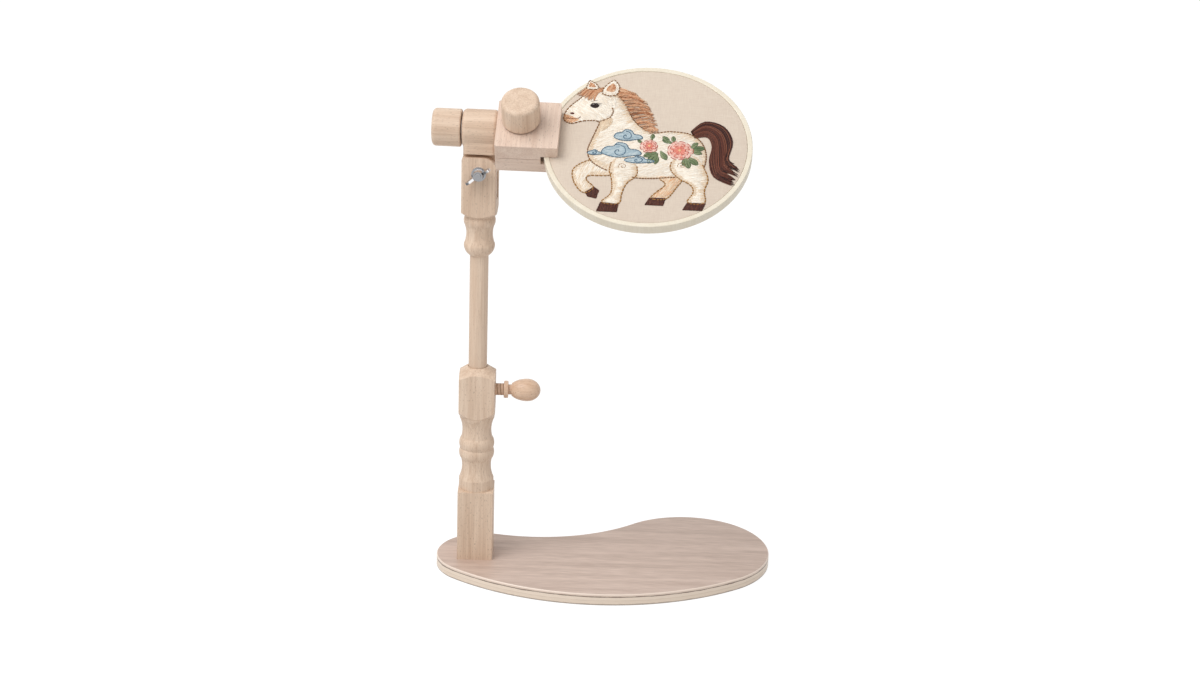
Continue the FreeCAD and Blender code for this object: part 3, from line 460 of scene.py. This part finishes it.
class Needlework:
    """Stitches that are gathered into one mesh, each thread with its colour."""

    def __init__(self, name):
        self.name = name
        self.build = bmesh.new()
        self.dye = self.build.verts.layers.float_color.new("thread")

    def thread(self, points, colour, width=THREAD, lift=0.0, height=0.34):
        """Lay one thread over the points, pointed at both ends where it dips in."""
        points = [Vector(p).to_2d() for p in points]
        shade = rng.uniform(0.93, 1.06)
        paint = (*(c * shade for c in colour), 1)
        base = RAISED + lift
        rows = []
        for i, at in enumerate(points):
            if i in (0, len(points) - 1):
                rows.append([self.build.verts.new((*at, base - 0.05))])
                continue
            along = (points[i + 1] - points[i - 1]).normalized()
            side = Vector((-along.y, along.x)) * width / 2
            rows.append([self.build.verts.new(corner) for corner in (
                (*(at + side), base + height * 0.35), (*at, base + height),
                (*(at - side), base + height * 0.35), (*at, base - 0.05))])
        for row in rows:
            for corner in row:
                corner[self.dye] = paint
        for near, far in zip(rows, rows[1:]):
            for i in range(4):
                j = (i + 1) % 4
                ring = [near[i % len(near)], near[j % len(near)],
                        far[j % len(far)], far[i % len(far)]]
                self.build.faces.new(list(dict.fromkeys(ring)))

    def stitch(self, start, end, colour, **how):
        start, end = Vector(start), Vector(end)
        overlap = (end - start).normalized() * OVERLAP
        start, end = start - overlap, end + overlap
        self.thread([start, start.lerp(end, 0.2), start.lerp(end, 0.8), end], colour, **how)

    def pad(self, outline, colours, lift):
        """The padding under a filled shape, which closes the gaps between stitches."""
        corners = [Vector(p) for p in outline]
        if (corners[0] - corners[-1]).length < 1e-6:
            corners.pop()
        area = sum(a.x * b.y - b.x * a.y for a, b in zip(corners, corners[1:] + corners[:1]))
        if area < 0:
            corners.reverse()
        paint = (*(sum(c[k] for c in colours) / len(colours) for k in range(3)), 1)
        levels = []
        for z in (RAISED - 0.05, RAISED + lift + PAD):
            levels.append([self.build.verts.new((*corner, z)) for corner in corners])
            for corner in levels[-1]:
                corner[self.dye] = paint
        below, above = levels
        self.build.faces.new(above)
        self.build.faces.new(below[::-1])
        for i in range(len(corners)):
            j = (i + 1) % len(corners)
            self.build.faces.new((below[i], below[j], above[j], above[i]))

    def fill(self, outline, colours, angle, reach=7.5, pitch=0.55, rim=None, **how):
        """Fill an outline with rows of long and short stitches at an angle."""
        self.pad(outline, colours, how.get("lift", 0.0))
        turn = Matrix.Rotation(math.radians(-angle), 2)
        back = turn.transposed()
        shape = [turn @ Vector(p) for p in outline]
        y = min(p.y for p in shape) + pitch / 2
        top = max(p.y for p in shape)
        while y < top:
            cuts = sorted(
                a.x + (y - a.y) * (b.x - a.x) / (b.y - a.y)
                for a, b in zip(shape, shape[1:] + shape[:1]) if (a.y > y) != (b.y > y))
            for left, right in zip(cuts[::2], cuts[1::2]):
                x = left
                first = rng.uniform(0.45, 1.0) * reach
                while x < right - 0.3:
                    end = min(x + first, right)
                    if right - end < 1.2:
                        end = right
                    choice = rim if rim and (x == left or end == right) else colours
                    self.stitch(back @ Vector((x, y)), back @ Vector((end, y)),
                                rng.choice(choice), **how)
                    x = end
                    first = rng.uniform(0.75, 1.2) * reach
            y += pitch

    def back_stitch(self, line, colour, step=2.4, gap=0.9, where=None, **how):
        """Sew a line of short stitches along the points, where the line shows."""
        how = {"width": 1.25, "lift": 0.34, **how}
        done, start = 0.0, Vector(line[0])
        for a, b in zip(line, line[1:]):
            done += (Vector(b) - Vector(a)).length
            if done >= step:
                way = (Vector(b) - start) * gap / done
                if where is None or where(start):
                    self.stitch(start, Vector(b) - way, colour, **how)
                start, done = Vector(b), 0.0

    def finish(self):
        bmesh.ops.recalc_face_normals(self.build, faces=self.build.faces)
        return from_mesh(self.name, self.build, thread_paint)


def curve(points, closed=False, steps=6):
    """A smooth line through the points."""
    points = [Vector(p) for p in points]
    count = len(points)
    line = []
    for i in range(count if closed else count - 1):
        if closed:
            p = [points[(i + k - 1) % count] for k in range(4)]
        else:
            p = [points[min(max(i + k - 1, 0), count - 1)] for k in range(4)]
        for step in range(steps):
            t = step / steps
            line.append(0.5 * (2 * p[1] + (p[2] - p[0]) * t
                               + (2 * p[0] - 5 * p[1] + 4 * p[2] - p[3]) * t ** 2
                               + (3 * p[1] - p[0] - 3 * p[2] + p[3]) * t ** 3))
    line.append(line[0].copy() if closed else points[-1].copy())
    return line


def along(line, share):
    """The point at a share of a line's list of points."""
    spot = share * (len(line) - 1)
    i = min(int(spot), len(line) - 2)
    return line[i].lerp(line[i + 1], spot - i)


def outside(point, outline):
    """Whether a point lies outside a closed outline."""
    crossings = sum(1 for a, b in zip(outline, outline[1:])
                    if (a.y > point.y) != (b.y > point.y)
                    and point.x < a.x + (point.y - a.y) * (b.x - a.x) / (b.y - a.y))
    return crossings % 2 == 0


# ------------------------------------------------------------------ foal
# The coat is filled in cream cotton, tan at the muzzle and in shadow, with dark
# hooves and ginger inside the ears, and each outline is sewn in back stitch.
CREAM = [ink(238, 226, 210), ink(245, 236, 222), ink(232, 216, 196), ink(250, 244, 233)]
SHADE = [ink(226, 204, 178), ink(236, 218, 194), ink(220, 194, 164)]
TAN = [ink(222, 172, 130), ink(230, 186, 148), ink(212, 158, 116)]
GINGER = [ink(202, 146, 108), ink(216, 168, 132), ink(176, 116, 80), ink(230, 192, 158)]
HOOF = [ink(78, 42, 34), ink(62, 33, 27), ink(96, 56, 44)]
GOLD = ink(166, 118, 58)
LINE = ink(134, 90, 48)

coat = Needlework("foal")
far_hind = curve([(10, -37), (19, -46), (12, -55), (6, -64), (20, -64), (29, -50), (33, -38)],
                 closed=True)
raised = curve([(-50, -20), (-66, -30), (-68, -41), (-63, -54), (-55, -61), (-47, -54),
                (-54, -46), (-53, -40), (-33, -38), (-34, -26)], closed=True)
body = curve([(-81, 33), (-77, 43), (-67, 55), (-58, 66), (-46, 69), (-34, 64), (-24, 50),
              (-14, 29), (2, 16), (20, 18), (38, 16), (50, 6), (55, -10), (52, -27),
              (38, -36), (22, -38), (6, -40), (-10, -40), (-33, -34), (-50, -24),
              (-56, -11), (-53, 4), (-49, 18), (-48, 27), (-62, 27), (-73, 23), (-80, 26)],
             closed=True)
hind = curve([(22, -26), (28, -12), (46, -12), (54, -26), (58, -39), (55, -52), (56, -67),
              (40, -67), (45, -55), (42, -46), (30, -38)], closed=True)
fore = curve([(-34, -32), (-30, -18), (-13, -18), (-8, -36), (-17, -47), (-21, -60),
              (-23, -72), (-39, -71), (-31, -60), (-31, -45)], closed=True)
coat.fill(far_hind, SHADE + TAN[:1], 60)
coat.fill(raised, CREAM + SHADE[:1], 70, rim=SHADE)
coat.fill(body, CREAM, 24, reach=8, rim=SHADE)
coat.fill(hind, CREAM, 10, reach=6, rim=SHADE, lift=0.12)
coat.fill(fore, CREAM, 8, reach=6, rim=SHADE, lift=0.12)
head = curve([(-81, 33), (-77, 43), (-67, 55), (-58, 66), (-46, 69), (-36, 61), (-33, 48),
              (-37, 36), (-47, 28), (-62, 27), (-73, 23), (-80, 26)], closed=True)
coat.fill(head, CREAM, -38, reach=6, lift=0.12)
coat.fill(curve([(-47, 26), (-36, 32), (-36, 24), (-45, 15)], closed=True), SHADE,
          60, reach=4, lift=0.14)
coat.fill(curve([(-81, 32), (-79, 34), (-72, 31), (-67, 28), (-73, 24), (-80, 26)],
                closed=True), TAN, -20, reach=3.5, lift=0.22)

coat.back_stitch(body, LINE, where=lambda p: outside(p, hind) and outside(p, fore))
coat.back_stitch(far_hind, GOLD, where=lambda p: outside(p, body) and outside(p, hind))
coat.back_stitch(raised, GOLD, where=lambda p: outside(p, body) and outside(p, fore))
coat.back_stitch(hind, GOLD, where=lambda p: p.y < -20)
coat.back_stitch(fore, GOLD, where=lambda p: p.y < -24)
coat.back_stitch(curve([(-47, 27), (-38, 32), (-35, 40), (-37, 46)]), LINE)
for hoof in ([(5, -63), (20, -63), (18, -72), (1, -72)],
             [(-55, -60), (-47, -53), (-42, -57), (-44, -67), (-52, -65)],
             [(40, -67), (57, -67), (54, -76), (36, -76)],
             [(-40, -71), (-23, -72), (-24, -82), (-43, -82)]):
    coat.fill(hoof, HOOF, 84, reach=6, lift=0.24)
for ear in ([(-62, 67), (-61, 73), (-60, 77.5), (-59, 77), (-53, 73), (-51, 67)],
            [(-46, 61), (-45, 70), (-37, 79), (-36, 79), (-31, 71), (-34, 60)]):
    shape = curve(ear, closed=True)
    middle = sum(shape, Vector((0, 0))) / len(shape)
    coat.fill(shape, CREAM, 65, reach=4, lift=0.85)
    coat.fill([middle + (p - middle) * 0.55 for p in shape], GINGER, 65, reach=4, lift=0.97)
    coat.back_stitch(shape, LINE, lift=0.97)
coat.finish()

# ------------------------------------------------------------------ face
# The foal's eye and its lashes in near black thread, with one white stitch for the
# light in it, and the nostril and mouth in brown.
face = Needlework("foal_face")
DARK_THREAD = ink(38, 26, 24)
eye = [(-53 + 4.3 * math.cos(t / 10 * math.pi), 46.5 + 3.0 * math.sin(t / 10 * math.pi))
       for t in range(20)]
face.fill(eye, [DARK_THREAD], 20, reach=7, pitch=0.4, lift=0.36)
face.stitch((-54.8, 47.7), (-53.8, 48.0), ink(250, 248, 244), width=0.5, lift=0.62)
for start, end in (((-56.4, 47), (-50, 50)), ((-50.4, 49.2), (-46.4, 49.6)),
                   ((-50, 48), (-46.6, 47.4)), ((-57, 51.5), (-50.5, 53))):
    face.stitch(start, end, DARK_THREAD, width=0.45, lift=0.4)
nostril = [(-73.6 + 1.9 * math.cos(t / 6 * math.pi), 35.6 + 1.1 * math.sin(t / 6 * math.pi))
           for t in range(12)]
face.fill(nostril, [ink(96, 46, 36)], 25, reach=4, pitch=0.4, lift=0.3)
face.back_stitch(curve([(-78.5, 29.5), (-72, 28.6), (-67.5, 29.6), (-65, 32.4)]),
                 ink(110, 52, 38), step=1.6, gap=0.5, lift=0.42, width=0.8)
face.finish()

# ------------------------------------------------------------------ mane
# Mane and forelock in long ginger strands, each one stitch of thread. They lie over
# one another and taper to their tips.
mane = Needlework("foal_mane")
crest = curve([(-50, 68), (-36, 65), (-25, 51), (-14, 30), (2, 16)])
sweep = curve([(-38, 70), (-20, 64), (-6, 51), (2, 35), (6, 18)])
for i in range(150):
    share = (i + 0.5) / 150
    root = along(crest, share) + Vector((rng.uniform(-2.5, 0.5), rng.uniform(-2.5, 0.5)))
    tip = along(sweep, min(share + rng.uniform(0.0, 0.14), 1))
    tip = tip + Vector((rng.uniform(-2, 4), rng.uniform(-3, 2)))
    middle = root.lerp(tip, 0.5) + Vector((2.2, 2.6))
    mane.thread(curve([root, middle, tip], steps=4), rng.choice(GINGER),
                width=rng.uniform(0.6, 1.0), lift=rng.uniform(0.3, 0.6))
for i in range(58):
    share = (i + 0.5) / 58
    root = Vector((-44 - 6 * share, 65 + 4 * share)) + Vector((rng.uniform(-1, 1), 0))
    tip = Vector((-55 - 15 * share, 52 + 8 * share)) + Vector((rng.uniform(-2, 2),
                                                               rng.uniform(-2, 2)))
    middle = root.lerp(tip, 0.55) + Vector((-1, 4.5))
    mane.thread(curve([root, middle, tip], steps=4), rng.choice(GINGER),
                width=rng.uniform(0.6, 0.95), lift=rng.uniform(0.4, 0.7))
mane.finish()

# ------------------------------------------------------------------ tail
# A full tail of long dark brown strands with every fifth one lighter. They end at
# different lengths, so that the tip is a fringe.
tail = Needlework("foal_tail")
TAIL = [ink(62, 28, 22), ink(76, 36, 28), ink(44, 19, 16), ink(90, 46, 34)]
TAIL_LIGHT = [ink(128, 74, 54), ink(152, 98, 72), ink(108, 58, 42)]
inner = [Vector(p) for p in ((43, 11), (55, 13), (60, 1), (58, -16), (63, -35), (83, -47))]
outer = [Vector(p) for p in ((39, 19), (52, 32), (70, 27), (79, 9), (76, -12), (88, -26))]
for i in range(150):
    share = (i + rng.uniform(0, 1)) / 150
    line = [a.lerp(b, share) for a, b in zip(inner, outer)]
    line[-1] = line[-2].lerp(line[-1], rng.uniform(0.15, 1.0)) + Vector((0, rng.uniform(-1, 1)))
    tone = rng.choice(TAIL) if i % 5 else rng.choice(TAIL_LIGHT)
    tail.thread(curve(line, steps=4), tone, width=rng.uniform(0.5, 0.85),
                lift=rng.uniform(0.05, 0.5))
tail.finish()

# ------------------------------------------------------------------ clouds
# Scroll clouds filled in pale grey blue cotton, with an outline and a spiral in a
# darker blue back stitch on each.
clouds = Needlework("scroll_clouds")
SKY = [ink(168, 187, 196), ink(182, 199, 206), ink(156, 177, 188), ink(200, 211, 214)]
SKY_LINE = ink(84, 114, 136)
LOBES = ((-1.1, -0.1), (-0.8, 0.3), (-0.35, 0.35), (-0.1, 0.62), (0.45, 0.55), (0.7, 0.2),
         (1.2, 0.15), (1.5, -0.15), (0.8, -0.3), (0.1, -0.42), (-0.6, -0.35))
for x, y, wide, tall in ((-21, 10, 10.5, 13), (-27, -9, 14.5, 17), (-9, -19, 11, 8),
                         (-50, -12, 5.5, 6)):
    shape = curve([(x + wide * u, y + tall * v) for u, v in LOBES], closed=True)
    clouds.fill(shape, SKY, 8, reach=5, lift=0.3)
    clouds.back_stitch(shape, SKY_LINE, step=1.9, gap=0.4, lift=0.5, width=1.0)
    spiral = [(x + wide * 0.055 * t * math.cos(t * 0.75), y + tall * 0.045 * t
               * math.sin(t * 0.75)) for t in [k / 3 for k in range(1, 34)]]
    clouds.back_stitch(spiral, SKY_LINE, step=1.7, gap=0.4, lift=0.55, width=0.9)
clouds.finish()

# ------------------------------------------------------------------ peonies
# Two peonies of satin-stitched petals, pale at the rim and coral at the heart, with
# veined green leaves, and a gold curl on the shoulder and on the haunch.
flowers = Needlework("peonies")
RIM = [ink(240, 200, 186), ink(244, 214, 202), ink(232, 184, 170)]
HEART = [ink(226, 140, 122), ink(214, 118, 104), ink(236, 164, 146)]
PETAL_EDGE = ink(186, 96, 84)
LEAF = [ink(118, 132, 96), ink(94, 112, 78), ink(142, 152, 116)]
LEAF_LINE = ink(66, 84, 54)


def petal(x, y, way, reach, wide, colours, lift):
    """One petal or leaf that starts at a point and grows in a direction."""
    spin = Matrix.Rotation(way, 2)
    shape = [spin @ Vector((reach * a, wide * b)) + Vector((x, y)) for a, b in (
        (0, 0), (0.35, 0.42), (0.75, 0.5), (1, 0.2), (1, -0.2), (0.75, -0.5),
        (0.35, -0.42))]
    flowers.fill(curve(shape, closed=True, steps=3), colours, math.degrees(way),
                 reach=reach, pitch=0.5, lift=lift)


for x, y, size in ((1.5, -1, 8.2), (30, -5, 12)):
    for count, out, colours, lift, twist in (
            (9, 1.0, RIM, 0.3, 0.0), (8, 0.74, RIM + HEART, 0.5, 0.4),
            (6, 0.48, HEART, 0.7, 0.1)):
        for k in range(count):
            way = twist + 2 * math.pi * k / count
            reach = size * out * rng.uniform(0.9, 1.08)
            petal(x, y, way, reach, size * out * 0.72, colours, lift + 0.02 * (k % 2))
            tip = [(x + reach * math.cos(way + a), y + reach * math.sin(way + a))
                   for a in (-0.32, -0.16, 0, 0.16, 0.32)]
            flowers.thread(tip, PETAL_EDGE, width=0.75, lift=lift + 0.14)
    flowers.fill([(x + 1.3 * math.cos(t), y + 1.3 * math.sin(t)) for t in range(6)],
                 [ink(238, 196, 150)], 30, reach=3, lift=0.9)
for x, y, way, reach in ((10, -9, 235, 15), (9, -10, 265, 12), (9, -8, 205, 13),
                         (12, -6, 300, 12), (36, -13, 285, 13), (38, -12, 315, 13),
                         (37, -12, 255, 11), (40, -3, 10, 13), (40, -4, 340, 11),
                         (40, -1, 45, 9), (21, 3, 130, 11), (23, 4, 160, 10),
                         (24, 4, 95, 8), (3, 6, 80, 8), (-5, 2, 140, 6)):
    petal(x, y, math.radians(way), reach, reach * 0.42, LEAF, 0.28)
    heading = Vector((math.cos(math.radians(way)), math.sin(math.radians(way))))
    flowers.stitch(Vector((x, y)) + heading * reach * 0.3,
                   Vector((x, y)) + heading * reach * 1.05, LEAF_LINE, width=0.6, lift=0.36)
    for side in (-1, 1):
        across = Vector((-heading.y, heading.x)) * reach * side
        flowers.thread(curve([Vector((x, y)) + heading * reach * a + across * b for a, b in (
            (0.35, 0.19), (0.75, 0.22), (1.08, 0.0))], steps=3), LEAF_LINE, width=0.6, lift=0.34)
for x, y in ((-22, -27), (33, -23)):
    curl = [(x + 0.45 * t * math.cos(t), y + 0.4 * t * math.sin(t))
            for t in [k / 3 for k in range(3, 32)]]
    flowers.back_stitch(curl, GOLD, step=1.6, lift=0.4, width=0.6)
flowers.finish()
